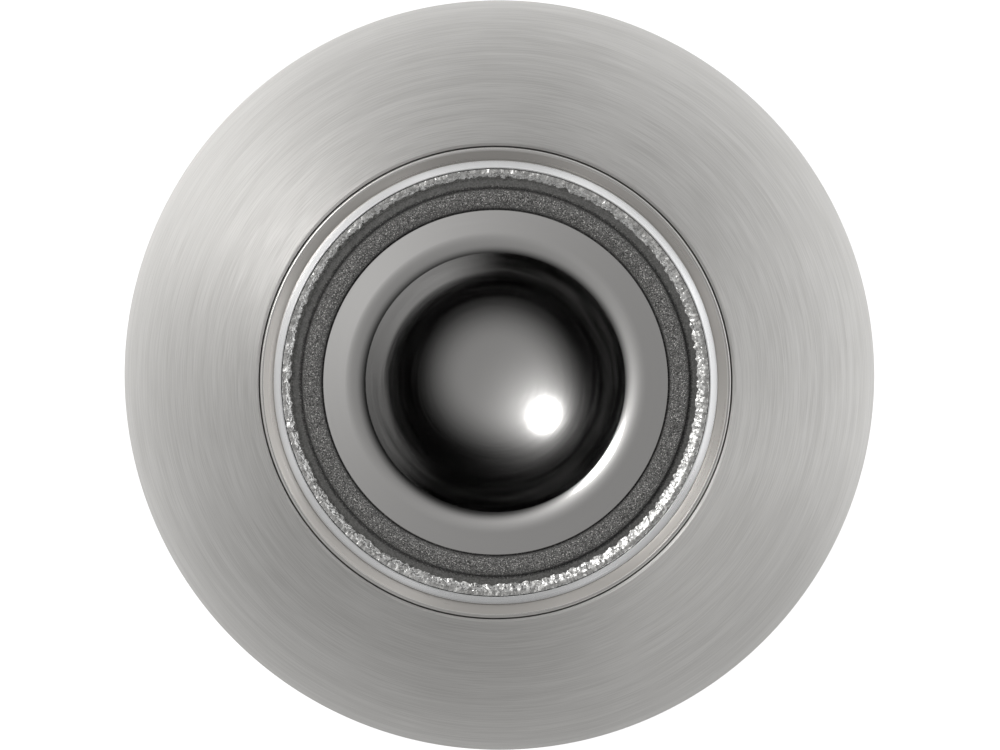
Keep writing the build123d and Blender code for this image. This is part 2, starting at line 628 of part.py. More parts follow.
def dome_line(thickness):
    """Draw the whole section as one line, a given depth under the visible face."""
    bowl = CenterArc((0, bowl_centre_z), BOWL_ARC_R + thickness, -90, WALL_SLOPE)
    bend = CenterArc(
        (bend_centre_r, bend_centre_z),
        BEND_ARC_R - thickness,
        90 + WALL_SLOPE,
        SHOULDER_SLOPE - WALL_SLOPE,
    )
    Line(bowl @ 1, bend @ 0)
    shoulder = CenterArc(
        (CREST_R, crest_z - SHOULDER_ARC_R),
        SHOULDER_ARC_R - thickness,
        90 + SHOULDER_SLOPE,
        -SHOULDER_SLOPE - ANNULUS_SLOPE,
    )
    annulus = PolarLine(
        shoulder @ 1, DOME_R - annulus_end_r, -ANNULUS_SLOPE, length_mode=LengthMode.HORIZONTAL
    )
    return bowl @ 0, annulus @ 1


with BuildPart() as dome:
    with BuildSketch(Plane.XZ):
        with BuildLine():
            top_centre, top_edge = dome_line(0)
            under_centre, under_edge = dome_line(DOME_T)
            Line(top_edge, under_edge)
            Line(under_centre, top_centre)
        make_face()
    revolve(axis=Axis.Z)
dome.part.label = "dome"
export_step(dome.part, "parts/dome.step")

with BuildPart() as coil_former:
    with BuildSketch(Plane.XY.offset(crest_z - DOME_T - GLUE_GAP)):
        flat_ring(FORMER_R + FORMER_T, FORMER_R)
    extrude(amount=-FORMER_LENGTH)
coil_former.part.label = "coil_former"
export_step(coil_former.part, "parts/coil_former.step")

with BuildPart() as voice_coil:
    with BuildSketch(Plane.XY.offset((PLATE_TOP_Z + PLATE_BOTTOM_Z) / 2)):
        flat_ring(coil_outer_r, FORMER_R + FORMER_T)
    extrude(amount=COIL_LENGTH / 2, both=True)
voice_coil.part.label = "voice_coil"
export_step(voice_coil.part, "parts/voice_coil.step")
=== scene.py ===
"""Looks of the car tweeter: brushed pod, bright ring stack, foam surround and inverted metal dome.

Lengths in outlines are millimetres, as (radius, height) about the sound axis; meshes are metres.
"""

import json
from math import acos, asin, cos, degrees, pi, radians, sin, sqrt, tan

import bpy
import numpy as np
from mathutils import Matrix, Vector, noise


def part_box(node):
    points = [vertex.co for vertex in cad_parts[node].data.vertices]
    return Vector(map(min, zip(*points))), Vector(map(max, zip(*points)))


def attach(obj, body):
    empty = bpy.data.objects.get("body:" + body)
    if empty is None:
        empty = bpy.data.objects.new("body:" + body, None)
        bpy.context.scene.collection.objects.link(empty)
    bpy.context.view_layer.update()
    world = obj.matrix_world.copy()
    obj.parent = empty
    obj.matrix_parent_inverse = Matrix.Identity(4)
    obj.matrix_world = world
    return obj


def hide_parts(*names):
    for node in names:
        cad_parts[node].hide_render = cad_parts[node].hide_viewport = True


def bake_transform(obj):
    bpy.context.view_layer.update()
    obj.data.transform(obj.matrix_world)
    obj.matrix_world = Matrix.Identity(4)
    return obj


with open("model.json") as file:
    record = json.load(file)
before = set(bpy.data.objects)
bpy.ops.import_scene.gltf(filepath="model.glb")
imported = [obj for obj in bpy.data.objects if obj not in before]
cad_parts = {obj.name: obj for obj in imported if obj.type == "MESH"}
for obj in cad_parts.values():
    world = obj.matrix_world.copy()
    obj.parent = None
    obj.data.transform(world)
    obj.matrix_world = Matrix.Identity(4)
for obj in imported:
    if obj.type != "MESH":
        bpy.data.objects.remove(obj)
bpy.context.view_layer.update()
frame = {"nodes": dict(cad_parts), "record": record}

MM = 0.001
TURN = 2 * pi
FINE_SEGMENTS = 480  # of the large turned parts
DOME_SEGMENTS = 360


def box_mm(node):
    """Lowest and highest corner of a CAD node, in millimetres."""
    low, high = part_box(node)
    return low / MM, high / MM


# ---- sizes read from the frame ----
pod_low, pod_high = box_mm("pod_shell")
POD_R = pod_high.x
POD_BOTTOM_Z = pod_low.z
FRONT_Z = pod_high.z
RING_TOP_Z = box_mm("clamp_ring")[1].z
RING_OUTER_R = box_mm("clamp_ring")[1].x
FLANGE_Z = box_mm("surround")[0].z
FLANGE_R = box_mm("surround")[1].x
DOME_R = box_mm("dome")[1].x
CREST_Z = box_mm("dome")[1].z
HOUSING_BOTTOM_Z = box_mm("capsule_housing")[0].z
SWIVEL_TOP_Z = box_mm("swivel_ring")[1].z
BOSS_BOTTOM_Z = box_mm("retainer_ring")[1].z

# ---- pod ----
POD_WAIST_Z = 4.5
MOUTH_R = 16.5
MOUTH_CHAMFER = 0.1
MOUTH_ROUND = 0.03
MOUTH_LIP = 0.09  # the mouth's edge hangs this far over the socket, so that the gap looks thin
MOUTH_LIP_T = 0.1
PIVOT_Z = 12.8
BEARING_R = 19.1
BEARING_GAP = 0.1  # the shell's inner step stands this far above the swivel ring
SHELL_INNER_R = 24.6
BOSS_SLOPE_R = 1.0  # the boss under the bearing runs out into the wall
BOSS_SLOPE_Z = 2.4
FOOT_ROUND = 0.02

# ---- capsule ----
BALL_GAP = 0.18
RIM_WIDTH = 0.2
RIM_ROUND = 0.15
RIM_INNER_ROUND = 0.04
VALLEY_ROUND = 0.025
BEVEL_ROUND = 0.03
VALLEY_R = 15.43
VALLEY_Z = 17.35
BEVEL_TOP_R = 14.92
BEVEL_TOP_Z = 17.68
SEAT_R = 14.85
SEAT_Z = 16.3
BORE_R = 14.0
RING_INNER_R = 14.0
RING_LAND = 0.3
RING_EDGE_T = 0.39
RING_UNDERCUT = 0.1
RING_ROUND = 0.04

# ---- surround and dome ----
FOAM_T = 0.18
ROLL_R = 0.69
ROLL_CENTRE_R = 12.76
FLANGE_START_R = ROLL_CENTRE_R + ROLL_R + 0.1
LIP_WIDTH = 0.35
LIP_INNER_R = DOME_R - LIP_WIDTH
LIP_STEP_R = DOME_R - 0.05
DOME_T = 0.1
SHARP_CORNER = 12.0  # in degrees, on the ring and the dome
CREST_R = 10.2
SHOULDER_ARC_R = 2.6
SHOULDER_SLOPE = 26.0
BEND_ARC_R = 0.4
BOWL_ARC_R = 12.2
WALL_SLOPE = 40.0
ANNULUS_SLOPE = 6.0

SOCKET_R = sqrt(MOUTH_R**2 + (FRONT_Z - MOUTH_CHAMFER - PIVOT_Z) ** 2)
BALL_R = SOCKET_R - BALL_GAP
RIM_R = sqrt(BALL_R**2 - (FRONT_Z - PIVOT_Z) ** 2)


# ======================= mesh helpers =======================


def arc(centre, radius, start, end, steps):
    """Points on an arc of the outline plane, from one angle to another, in degrees."""
    angles = np.radians(np.linspace(start, end, steps + 1))
    return [(centre[0] + radius * cos(a), centre[1] + radius * sin(a)) for a in angles]


def rounded(points, radius, steps=4):
    """Replaces the middle one of three points by a small arc tangent to both sides."""
    before, corner, after = (Vector(p) for p in points)
    u, v = (before - corner).normalized(), (after - corner).normalized()
    half = u.angle(v) / 2
    reach = radius / tan(half)
    centre = corner + (u + v).normalized() * (radius / sin(half))
    first = (corner + u * reach - centre).normalized()
    last = (corner + v * reach - centre).normalized()
    return [tuple(centre + first.slerp(last, i / steps) * radius) for i in range(steps + 1)]


def line(start, end, steps):
    """Evenly spaced points from start up to, but not including, end."""
    return [
        (start[0] + (end[0] - start[0]) * i / steps, start[1] + (end[1] - start[1]) * i / steps)
        for i in range(steps)
    ]


def new_object(name, vertices, faces, sharp=30.0):
    """A smooth-shaded mesh object, with edges sharper than an angle kept sharp."""
    mesh = bpy.data.meshes.new(name)
    mesh.from_pydata([tuple(v) for v in vertices], [], faces)
    mesh.update()
    mesh.polygons.foreach_set("use_smooth", [True] * len(mesh.polygons))
    mesh.set_sharp_from_angle(angle=radians(sharp))
    obj = bpy.data.objects.new(name, mesh)
    bpy.context.scene.collection.objects.link(obj)
    return obj


def lathe(name, outline, segments, closed=True, sharp=30.0, shift=None):
    """Turns an outline about the axis; shift moves each point by (radius, height, angle)."""
    outline = np.array(outline, float)
    following = np.roll(outline, -1, axis=0)
    area = np.sum(outline[:, 0] * following[:, 1] - following[:, 0] * outline[:, 1])
    angles = np.arange(segments) * TURN / segments
    radius = np.repeat(outline[:, 0][:, None], segments, axis=1)
    height = np.repeat(outline[:, 1][:, None], segments, axis=1)
    if shift is not None:
        radius, height = shift(radius, height, angles[None, :])
    grid = np.stack([radius * np.cos(angles), radius * np.sin(angles), height], axis=-1) * MM
    rows = len(outline)
    vertices = grid.reshape(-1, 3)
    faces = []
    for row in range(rows if closed else rows - 1):
        low, high = row * segments, (row + 1) % rows * segments
        for k in range(segments):
            after = (k + 1) % segments
            face = (low + k, low + after, high + after, high + k)
            faces.append(face if area > 0 else face[::-1])
    return new_object(name, vertices, faces, sharp)


def turned_points(radius, height, angles):
    """The place of each point of a turned grid, in millimetres, and its angle."""
    turn = np.broadcast_to(angles, radius.shape)
    return np.stack([radius * np.cos(turn), radius * np.sin(turn), height], axis=-1), turn


def grain(points, scale, octaves=2):
    """Fractal noise at each point, about -1 to 1."""
    return np.array(
        [noise.fractal(Vector(p) * scale, 1.0, 2.0, octaves) for p in points.reshape(-1, 3)]
    ).reshape(points.shape[:-1])


# ======================= material helpers =======================


def put(tree, kind, inputs=(), **settings):
    """Adds a shader node; an input given as a socket is linked, any other is set."""
    made = tree.nodes.new("ShaderNode" + kind)
    for key, value in settings.items():
        setattr(made, key, value)
    for key, value in dict(inputs).items():
        if isinstance(value, bpy.types.NodeSocket):
            tree.links.new(value, made.inputs[key])
        else:
            made.inputs[key].default_value = value
    return made


def maths(tree, operation, first, second=0.0, third=0.0, clamp=False):
    """The result of one maths node."""
    made = put(tree, "Math", {0: first, 1: second, 2: third}, operation=operation)
    made.use_clamp = clamp
    return made.outputs[0]


def remap(tree, value, low, high, to_low, to_high, smooth=True):
    """A value carried from one range to another, eased at both ends."""
    kind = "SMOOTHSTEP" if smooth else "LINEAR"
    given = {0: value, 1: low, 2: high, 3: to_low, 4: to_high}
    return put(tree, "MapRange", given, interpolation_type=kind).outputs[0]


def mix_colour(tree, share, first, second):
    """Two colours mixed by a share."""
    made = tree.nodes.new("ShaderNodeMix")
    made.data_type = "RGBA"
    for index, value in ((0, share), (6, first), (7, second)):
        if isinstance(value, bpy.types.NodeSocket):
            tree.links.new(value, made.inputs[index])
        elif index == 0:
            made.inputs[index].default_value = value
        else:
            made.inputs[index].default_value = (*value, 1.0)
    return made.outputs[2]


def start_material(name, shader_values):
    """A material with one Principled shader: its tree and the shader."""
    material = bpy.data.materials.new(name)
    material.use_nodes = True
    tree = material.node_tree
    shader = tree.nodes["Principled BSDF"]
    for key, value in shader_values.items():
        shader.inputs[key].default_value = value
    return material, tree, shader


def object_mm(tree):
    """The point in the object's own coordinates, in millimetres."""
    place = put(tree, "TexCoord").outputs["Object"]
    return put(tree, "VectorMath", {0: place, 3: 1 / MM}, operation="SCALE").outputs[0]


def round_coordinates(tree):
    """The point's radius about the axis, height, x and y, in millimetres."""
    place = put(tree, "SeparateXYZ", {0: object_mm(tree)}).outputs
    flat = put(tree, "CombineXYZ", {0: place[0], 1: place[1]}).outputs[0]
    radius = put(tree, "VectorMath", {0: flat}, operation="LENGTH").outputs["Value"]
    return radius, place[2], place[0], place[1]


BRUSH_MEAN_R = 20.0  # where an arc of noise has its stated length
NOISE_RANGE = (0.3, 0.7)  # where most of a noise texture's values lie


def lathe_lines(tree, arc_length, line_width, detail=2.0):
    """Noise drawn out along circles about the axis: long arcs, thin across."""
    radius, height, x, y = round_coordinates(tree)
    turn = maths(tree, "ARCTAN2", y, x)
    across = maths(tree, "SUBTRACT", radius, height)
    along_x = maths(tree, "MULTIPLY", maths(tree, "COSINE", turn), BRUSH_MEAN_R / arc_length)
    along_y = maths(tree, "MULTIPLY", maths(tree, "SINE", turn), BRUSH_MEAN_R / arc_length)
    wide = maths(tree, "DIVIDE", across, line_width)
    vector = put(tree, "CombineXYZ", {0: along_x, 1: along_y, 2: wide}).outputs[0]
    return put(tree, "TexNoise", {"Vector": vector, "Scale": 1.0, "Detail": detail}).outputs[0]


def bump(tree, shader, height, distance_mm, strength=1.0):
    """Relief of a given depth on a shader's normal."""
    made = put(tree, "Bump", {"Height": height, "Strength": strength, "Distance": distance_mm * MM})
    tree.links.new(made.outputs[0], shader.inputs["Normal"])


def speckle(tree, size_mm, detail=2.0, roughness=0.6):
    """Even grain of a given size."""
    given = {"Vector": object_mm(tree), "Scale": 1 / size_mm, "Detail": detail, "Roughness": roughness}
    return put(tree, "TexNoise", given).outputs[0]


def grained(name, dark, light, rough, size_mm, depth_mm, metallic=0.0, rough_spread=0.1):
    """A moulded, felted or cast finish: two tones and a relief from one grain."""
    material, tree, shader = start_material(name, {"Metallic": metallic})
    value = remap(tree, speckle(tree, size_mm), *NOISE_RANGE, 0.0, 1.0)
    tree.links.new(mix_colour(tree, value, dark, light), shader.inputs["Base Color"])
    spread = remap(tree, value, 0.0, 1.0, rough - rough_spread, rough + rough_spread, smooth=False)
    tree.links.new(spread, shader.inputs["Roughness"])
    bump(tree, shader, value, depth_mm)
    return material


# ======================= materials =======================

ALUMINIUM_DARK = (0.76, 0.752, 0.735)
ALUMINIUM_LIGHT = (0.86, 0.852, 0.836)
# painted shade: the ball, seen only in the gap under the pod's mouth, is darkened
BALL_SHADE_GREY = (0.45, 0.44, 0.43)
# painted shade: the rim's inner slope down into the valley is darkened
RIM_SLOPE_SHADE = (0.52, 0.50, 0.475)
BEVEL_WHITE = (0.93, 0.935, 0.94)
RIM_DARK = (0.74, 0.73, 0.71)
RIM_LIGHT = (0.86, 0.85, 0.83)
DOME_DARK = (0.84, 0.835, 0.83)
DOME_LIGHT = (0.88, 0.875, 0.87)
FLAKE_DARK = (0.66, 0.66, 0.65)
FLAKE_LIGHT = (0.95, 0.95, 0.94)
FOAM_SHADE = (0.012, 0.012, 0.012)
FOAM_DARK = (0.014, 0.014, 0.013)
FOAM_LIGHT = (0.265, 0.262, 0.254)
# painted glints: the colour of small light spots on the roll
FOAM_GLINT = (0.72, 0.71, 0.69)
FOAM_FLANGE_DARK = (0.12, 0.12, 0.117)
FOAM_FLANGE_LIGHT = (0.24, 0.238, 0.23)
TOOL_LINE_ARC = 12.0
TOOL_LINE_WIDTH = 0.06
TOOL_LINE_DEPTH = 0.0008
BRUSH_ROUGH = 0.06
DOME_ROUGH = (0.128, 0.2)
CAPSULE_ROUGH = (0.26, 0.36)
BALL_ROUGH = 0.3  # the ball is this much rougher than the rim
BEVEL_PAINT = 0.15  # how far the bevel is from bare metal


def brushed_aluminium(name, rough, arc_mm, line_mm, depth_mm, anisotropy):
    """Metal with fine lines around the axis; its gloss spreads across the lines."""
    material, tree, shader = start_material(
        name, {"Metallic": 1.0, "Anisotropic": anisotropy, "Anisotropic Rotation": 0.25}
    )
    fine = lathe_lines(tree, arc_mm, line_mm)
    broad = lathe_lines(tree, arc_mm * 4, line_mm * 14)
    tone = maths(tree, "MULTIPLY_ADD", fine, 0.65, maths(tree, "MULTIPLY", broad, 0.35))
    share = remap(tree, tone, 0.32, 0.68, 0.0, 1.0)
    tree.links.new(mix_colour(tree, share, ALUMINIUM_DARK, ALUMINIUM_LIGHT), shader.inputs["Base Color"])
    spread = remap(tree, fine, *NOISE_RANGE, rough + BRUSH_ROUGH, rough - BRUSH_ROUGH, smooth=False)
    tree.links.new(spread, shader.inputs["Roughness"])
    tangent = put(tree, "Tangent", direction_type="RADIAL", axis="Z").outputs[0]
    tree.links.new(tangent, shader.inputs["Tangent"])
    bump(tree, shader, fine, depth_mm)
    return material


def satin_dome():
    """Turned metal that is nearly bright, with faint tool lines."""
    material, tree, shader = start_material("dome_metal", {"Metallic": 1.0})
    lines = lathe_lines(tree, TOOL_LINE_ARC, TOOL_LINE_WIDTH)
    tree.links.new(mix_colour(tree, lines, DOME_DARK, DOME_LIGHT), shader.inputs["Base Color"])
    spread = remap(tree, lines, *NOISE_RANGE, *DOME_ROUGH, smooth=False)
    tree.links.new(spread, shader.inputs["Roughness"])
    bump(tree, shader, lines, TOOL_LINE_DEPTH)
    return material


pod_metal = brushed_aluminium(
    "pod_aluminium", rough=0.56, arc_mm=3.0, line_mm=0.07, depth_mm=0.0006, anisotropy=0.85
)
dome_metal = satin_dome()


def capsule_finish():
    """Four tones on one turned part: bare rim, a slope darkened as painted shade, whitened bevel and a
    rougher ball darkened as painted shade in the gap under the mouth.
    """
    material, tree, shader = start_material("capsule_aluminium", {})
    lines = lathe_lines(tree, TOOL_LINE_ARC, TOOL_LINE_WIDTH)
    bare = mix_colour(tree, lines, RIM_DARK, RIM_LIGHT)
    radius, height = round_coordinates(tree)[:2]
    on_bevel = remap(tree, radius, VALLEY_R - 0.07, VALLEY_R - 0.03, 1.0, 0.0)
    above_seat = remap(tree, height, SEAT_Z + 0.4, SEAT_Z + 0.5, 0.0, 1.0)
    white = maths(tree, "MULTIPLY", on_bevel, above_seat)
    # ball marks the ball below the rim, darkened as painted shade in the gap and made rougher.
    below_rim = remap(tree, height, FRONT_Z - 0.16, FRONT_Z - 0.08, 1.0, 0.0)
    outside = remap(tree, radius, RIM_R - 0.03, RIM_R, 0.0, 1.0)
    ball = maths(tree, "MULTIPLY", below_rim, outside)
    # The slope down into the valley is darkened as painted shade.
    slope_r = RIM_R - RIM_WIDTH
    on_shaded_slope = remap(tree, radius, slope_r - 0.04, slope_r, 1.0, 0.0)
    tone = mix_colour(tree, on_shaded_slope, bare, RIM_SLOPE_SHADE)
    tone = mix_colour(tree, white, tone, BEVEL_WHITE)
    tree.links.new(mix_colour(tree, ball, tone, BALL_SHADE_GREY), shader.inputs["Base Color"])
    metallic = maths(tree, "SUBTRACT", 1.0, maths(tree, "MULTIPLY", white, BEVEL_PAINT))
    tree.links.new(metallic, shader.inputs["Metallic"])
    gloss = remap(tree, lines, *NOISE_RANGE, *CAPSULE_ROUGH, smooth=False)
    gloss = maths(tree, "ADD", gloss, maths(tree, "MULTIPLY", ball, BALL_ROUGH))
    tree.links.new(gloss, shader.inputs["Roughness"])
    bump(tree, shader, lines, TOOL_LINE_DEPTH)
    return material


capsule_metal = capsule_finish()


def ring_metal():
    """Rough bright metal that sparkles grain by grain."""
    material, tree, shader = start_material("clamp_aluminium", {"Metallic": 1.0})
    flakes = put(tree, "TexVoronoi", {"Vector": object_mm(tree), "Scale": 7.0}).outputs["Color"]
    tone = put(tree, "SeparateColor", {0: flakes}).outputs[0]
    tree.links.new(mix_colour(tree, tone, FLAKE_DARK, FLAKE_LIGHT), shader.inputs["Base Color"])
    tree.links.new(remap(tree, tone, 0.0, 1.0, 0.2, 0.38), shader.inputs["Roughness"])
    bump(tree, shader, speckle(tree, 0.12, detail=3.0), 0.009)
    return material


def foam_material():
    """Dark open-cell foam: coarse pores, painted glints as small light spots on the roll, and painted
    shade at both foldings of the roll.
    """
    material, tree, shader = start_material("surround_foam", {"Specular IOR Level": 1.0})
    pores = speckle(tree, 0.11, detail=3.0, roughness=0.7)
    tone = remap(tree, pores, 0.32, 0.72, 0.0, 1.0)
    radius = round_coordinates(tree)[0]
    roll_edge_r = ROLL_CENTRE_R + ROLL_R
    # Painted shade: the foam darkens to FOAM_SHADE at the roll's outer folding and along the lip by the
    # dome.
    off_crease = maths(tree, "ABSOLUTE", maths(tree, "SUBTRACT", radius, roll_edge_r + 0.05))
    crease_shade = remap(tree, off_crease, 0.04, 0.22, 0.35, 1.0)
    lip = remap(tree, radius, DOME_R + 0.1, DOME_R + 0.28, 0.4, 1.0)
    unshaded_share = maths(tree, "MULTIPLY", crease_shade, lip)
    roll = mix_colour(tree, tone, FOAM_DARK, FOAM_LIGHT)
    # Painted glints: small light spots scattered over the roll.
    painted_glints = remap(tree, speckle(tree, 0.075, detail=0.0), 0.66, 0.74, 0.0, 1.0)
    roll = mix_colour(tree, painted_glints, roll, FOAM_GLINT)
    flange = mix_colour(tree, tone, FOAM_FLANGE_DARK, FOAM_FLANGE_LIGHT)
    on_flange = remap(tree, radius, roll_edge_r + 0.12, roll_edge_r + 0.27, 0.0, 1.0)
    bare = mix_colour(tree, on_flange, roll, flange)
    tree.links.new(mix_colour(tree, unshaded_share, FOAM_SHADE, bare), shader.inputs["Base Color"])
    tree.links.new(remap(tree, pores, 0.35, 0.75, 0.8, 0.45), shader.inputs["Roughness"])
    bump(tree, shader, pores, 0.05)
    return material


clamp_metal = ring_metal()
foam = foam_material()

slot_materials = {
    "pod_aluminium": pod_metal,
    "capsule_aluminium": capsule_metal,
    "clamp_aluminium": clamp_metal,
    "dome_metal": dome_metal,
    "surround_foam": foam,
}

# Each row: dark tone, light tone, roughness, grain size and relief in millimetres, metallic.
PLAIN_FINISHES = {
    "base_plastic": ((0.016, 0.016, 0.017), (0.030, 0.030, 0.031), 0.55, 0.25, 0.01, 0.0),
    "gasket_foam": ((0.012, 0.012, 0.012), (0.045, 0.045, 0.044), 0.85, 0.3, 0.05, 0.0),
    "grommet_rubber": ((0.014, 0.014, 0.014), (0.024, 0.024, 0.024), 0.6, 0.5, 0.006, 0.0),
    "swivel_plastic": ((0.018, 0.018, 0.019), (0.032, 0.032, 0.033), 0.5, 0.3, 0.008, 0.0),
    "retainer_steel": ((0.42, 0.42, 0.41), (0.55, 0.55, 0.53), 0.35, 0.5, 0.003, 1.0),
    "screw_steel": ((0.50, 0.50, 0.49), (0.66, 0.65, 0.63), 0.28, 0.2, 0.002, 1.0),
    "washer_felt": ((0.030, 0.030, 0.032), (0.075, 0.075, 0.078), 0.9, 0.12, 0.04, 0.0),
    "pin_steel": ((0.55, 0.55, 0.54), (0.68, 0.67, 0.66), 0.22, 0.15, 0.001, 1.0),
    "frame_plastic": ((0.020, 0.020, 0.021), (0.035, 0.035, 0.036), 0.5, 0.3, 0.008, 0.0),
    "motor_steel": ((0.36, 0.36, 0.36), (0.50, 0.50, 0.49), 0.38, 0.4, 0.003, 1.0),
    "magnet_nickel": ((0.60, 0.57, 0.52), (0.72, 0.69, 0.63), 0.2, 0.6, 0.001, 1.0),
    "felt": ((0.035, 0.035, 0.037), (0.090, 0.090, 0.093), 0.95, 0.1, 0.05, 0.0),
    "cap_plastic": ((0.016, 0.016, 0.017), (0.028, 0.028, 0.029), 0.6, 0.25, 0.01, 0.0),
    "board": ((0.025, 0.090, 0.050), (0.040, 0.130, 0.075), 0.45, 0.2, 0.004, 0.0),
    "tab_brass": ((0.62, 0.58, 0.50), (0.78, 0.74, 0.66), 0.3, 0.3, 0.003, 1.0),
    "wire_copper": ((0.60, 0.28, 0.16), (0.75, 0.38, 0.22), 0.35, 0.1, 0.002, 1.0),
    "former_film": ((0.45, 0.30, 0.12), (0.60, 0.42, 0.18), 0.4, 0.3, 0.002, 0.0),
}
for plain_name, plain_finish in PLAIN_FINISHES.items():
    slot_materials[plain_name] = grained(plain_name, *plain_finish)


def dress_cad_nodes():
    """Gives every CAD node the material of its slot in the record."""
    for entry in frame["record"]["subparts"]:
        obj = frame["nodes"][entry["node"]]
        obj.data.materials.clear()
        obj.data.materials.append(slot_materials[entry["material_slot"]])


dress_cad_nodes()


def finish_piece(obj, body, slot, *nodes):
    """Gives a piece its material and its body, and hides the CAD nodes that it stands for."""
    obj.data.materials.append(slot_materials[slot])
    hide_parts(*nodes)
    if body:
        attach(obj, body)
    return obj


# ======================= pod =======================


def pod_outline():
    """The shell's section: elliptical skin, mouth, socket, bearing and inner wall."""
    edge_r = MOUTH_R + MOUTH_CHAMFER
    half_height = (FRONT_Z - POD_WAIST_Z) / sqrt(1 - (edge_r / POD_R) ** 2)
    foot = asin((POD_BOTTOM_Z - POD_WAIST_Z) / half_height)
    top = acos(edge_r / POD_R)
    skin = [
        (POD_R * cos(a), POD_WAIST_Z + half_height * sin(a)) for a in np.linspace(foot, top, 120)
    ]
    mouth_low = (MOUTH_R - MOUTH_LIP, FRONT_Z - MOUTH_CHAMFER)
    mouth = rounded([skin[-2], skin[-1], mouth_low], MOUTH_ROUND)
    mouth += [mouth_low, (mouth_low[0], mouth_low[1] - MOUTH_LIP_T)]
    bearing_top_z = SWIVEL_TOP_Z + BEARING_GAP
    socket_top = degrees(asin((mouth_low[1] - 2 * MOUTH_LIP_T - PIVOT_Z) / SOCKET_R))
    socket_low = degrees(asin((bearing_top_z - PIVOT_Z) / SOCKET_R))
    socket = arc((0, PIVOT_Z), SOCKET_R, socket_top, socket_low, 24)
    inside = [
        (BEARING_R, bearing_top_z),
        (BEARING_R, BOSS_BOTTOM_Z),
        (SHELL_INNER_R - BOSS_SLOPE_R, BOSS_BOTTOM_Z),
        (SHELL_INNER_R, BOSS_BOTTOM_Z - BOSS_SLOPE_Z),
        (SHELL_INNER_R, POD_BOTTOM_Z),
    ]
    foot_round = rounded([inside[-1], skin[0], skin[1]], FOOT_ROUND)
    return foot_round + skin[1:-1] + mouth + socket + inside


def pod_skin():
    """The brushed shell."""
    return lathe("pod_skin", pod_outline(), FINE_SEGMENTS)


finish_piece(pod_skin(), "pod", "pod_aluminium", "pod_shell")


# ======================= capsule =======================


def housing_outline():
    """The housing's section: ball, rim, slope into the valley, bevel, wall, seat and bore."""
    low_angle = degrees(asin((HOUSING_BOTTOM_Z - PIVOT_Z) / BALL_R))
    top_angle = degrees(asin((FRONT_Z - PIVOT_Z) / BALL_R))
    ball = arc((0, PIVOT_Z), BALL_R, low_angle, top_angle, 50)
    rim_inner = (RIM_R - RIM_WIDTH, FRONT_Z)
    valley = (VALLEY_R, VALLEY_Z)
    bevel_top = (BEVEL_TOP_R, BEVEL_TOP_Z)
    wall_top = (SEAT_R, BEVEL_TOP_Z)
    wall_low = (SEAT_R, SEAT_Z)
    return (
        ball[:-1]
        + rounded([ball[-2], ball[-1], rim_inner], RIM_ROUND, 10)
        + rounded([ball[-1], rim_inner, valley], RIM_INNER_ROUND, 3)
        + rounded([rim_inner, valley, bevel_top], VALLEY_ROUND, 4)
        + rounded([valley, bevel_top, wall_top], BEVEL_ROUND, 3)
        + rounded([bevel_top, wall_top, wall_low], BEVEL_ROUND, 3)
        + [wall_low, (BORE_R, SEAT_Z), (BORE_R, HOUSING_BOTTOM_Z)]
    )


capsule_rim = lathe("capsule_rim", housing_outline(), FINE_SEGMENTS)
finish_piece(capsule_rim, "capsule", "capsule_aluminium", "capsule_housing")


RING_SEED = 7
RING_SEGMENTS = 1200
RING_TEAR = 0.17  # how far the torn edge runs in and out
RING_TEAR_SCALE = 2.6
RING_TEAR_PLACE = 40.0
RING_WEAR = 0.13  # how far the edge is worn back all round
RING_OFFSET = 0.18  # the torn edge is this much off centre
RING_OFFSET_AZIMUTH = 315.0
RING_CRUMPLE = 0.045
RING_CRUMPLE_SCALE = 2.2
RING_SCATTER_R = 0.008
RING_SCATTER_Z = 0.005
RING_RISE = 0.03  # no lump stands higher than the flat ring


def ring_shift(radius, height, angles):
    """Tears the ring's inner edge and crumples its face, leaving its underside flat."""
    point, turn = turned_points(radius, height, angles)
    face = height > FLANGE_Z + FOAM_T + 0.01
    scatter = np.random.default_rng(RING_SEED).normal(size=(2, *radius.shape))
    inward = np.clip((RING_OUTER_R - radius) / (RING_OUTER_R - RING_INNER_R), 0, 1)
    tear = grain(point * (1, 1, 0) + RING_TEAR_PLACE, RING_TEAR_SCALE, 4)
    crumple = grain(point, RING_CRUMPLE_SCALE, 3)
    worn = RING_WEAR - RING_OFFSET * np.cos(turn - radians(RING_OFFSET_AZIMUTH))
    outwards = (tear * RING_TEAR + worn) * inward**2 + scatter[0] * RING_SCATTER_R
    upwards = crumple * RING_CRUMPLE + scatter[1] * RING_SCATTER_Z
    radius = radius + np.where(face, outwards, 0.0)
    height = height + np.where(face, np.minimum(upwards, RING_RISE) - RING_RISE, 0.0)
    return np.minimum(radius, RING_OUTER_R), height


def clamp_outline():
    """The ring's section, dense enough to be crumpled: its face slopes down inwards."""
    low_z = FLANGE_Z + FOAM_T
    edge = (RING_INNER_R, low_z + RING_EDGE_T)
    land = (RING_OUTER_R - RING_LAND, RING_TOP_Z)
    outer = (RING_OUTER_R, RING_TOP_Z)
    outer_round = rounded([land, outer, (RING_OUTER_R, low_z)], RING_ROUND, 3)
    return (
        [(RING_INNER_R + RING_UNDERCUT, low_z)]
        + line(edge, land, 12)
        + line(land, outer_round[0], 2)
        + outer_round
        + [(RING_OUTER_R, low_z)]
    )


torn_ring = lathe("torn_ring", clamp_outline(), RING_SEGMENTS, sharp=SHARP_CORNER, shift=ring_shift)
finish_piece(torn_ring, "capsule", "clamp_aluminium", "clamp_ring")


# ======================= surround =======================


